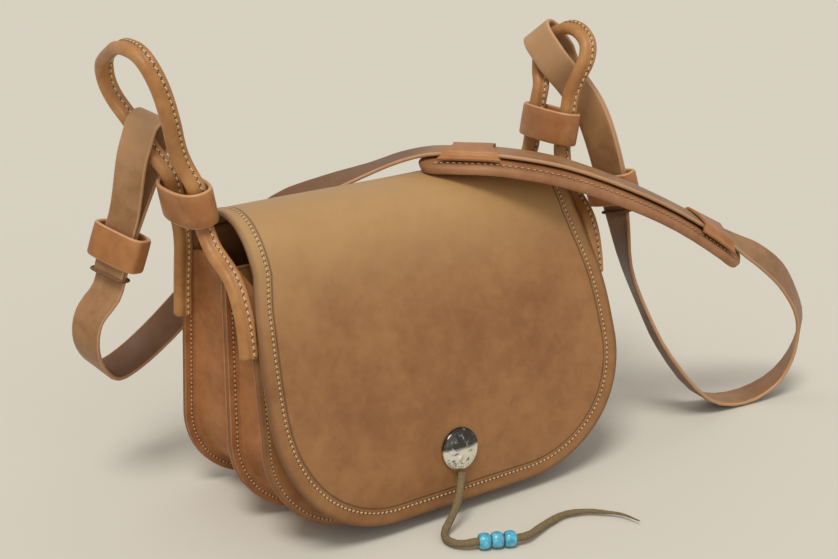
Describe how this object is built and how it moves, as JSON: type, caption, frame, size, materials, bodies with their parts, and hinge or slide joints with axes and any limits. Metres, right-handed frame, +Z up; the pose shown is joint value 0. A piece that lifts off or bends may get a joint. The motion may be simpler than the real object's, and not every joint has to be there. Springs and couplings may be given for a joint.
{
  "type": "hunting bag",
  "caption": "Leather shoulder bag with two pleated pockets under a long saddle flap, rolled side loops with keepers, a padded strap, a stud closure and a beaded thong.",
  "frame": {"origin": "middle of the divider's bottom edge, on the surface that the bag stands on", "axes": "+X to the right as seen from the flap's front, +Y to the bag's back, +Z up"},
  "size_m": [0.5639, 0.2861, 0.3361],
  "materials": {
    "body_leather": "satin",
    "gusset_leather": "satin",
    "flap_leather": "satin",
    "strap_leather": "satin",
    "suede": "matt",
    "concho_metal": "polished",
    "snap_metal": "satin",
    "bead": "gloss"
  },
  "bodies": {
    "bag": {"back_panel": "body_leather", "divider_panel": "body_leather", "front_panel": "body_leather", "rear_gusset": "gusset_leather", "front_gusset": "gusset_leather", "flap_top": "flap_leather", "snap_stud": "snap_metal", "left_loop": "strap_leather", "right_loop": "strap_leather", "shoulder_strap": "strap_leather", "left_strap_lace": "suede", "right_strap_lace": "suede", "shoulder_pad": "body_leather", "pad_loop_left": "strap_leather", "pad_loop_right": "strap_leather"},
    "flap": {"flap_front": "flap_leather", "flap_facing": "body_leather", "concho": "concho_metal", "snap_socket": "snap_metal", "thong": "suede", "bead_1": "bead", "bead_2": "bead", "bead_3": "bead"},
    "left_loop_keeper": {"left_loop_keeper": "strap_leather"},
    "right_loop_keeper": {"right_loop_keeper": "strap_leather"},
    "left_strap_keeper": {"left_strap_keeper": "strap_leather"},
    "right_strap_keeper": {"right_strap_keeper": "strap_leather"}
  },
  "joints": [
    {"name": "flap_lift", "type": "hinge", "parent": "bag", "child": "flap", "pos_m": [0, -0.0276, 0.187], "axis": [-1, 0, 0], "range_deg": [0, 60]},
    {"name": "left_loop_keeper_slide", "type": "slide", "parent": "bag", "child": "left_loop_keeper", "axis": [-0.1821, 0, 0.9833], "range_m": [-0.001, 0.001]},
    {"name": "right_loop_keeper_slide", "type": "slide", "parent": "bag", "child": "right_loop_keeper", "axis": [0.1821, 0, 0.9833], "range_m": [-0.001, 0.001]},
    {"name": "left_strap_keeper_slide", "type": "slide", "parent": "bag", "child": "left_strap_keeper", "axis": [0.2739, -0.131, 0.9528], "range_m": [0, 0.006]},
    {"name": "right_strap_keeper_slide", "type": "slide", "parent": "bag", "child": "right_strap_keeper", "axis": [-0.165, 0.184, 0.969], "range_m": [0, 0.004]}
  ]
}
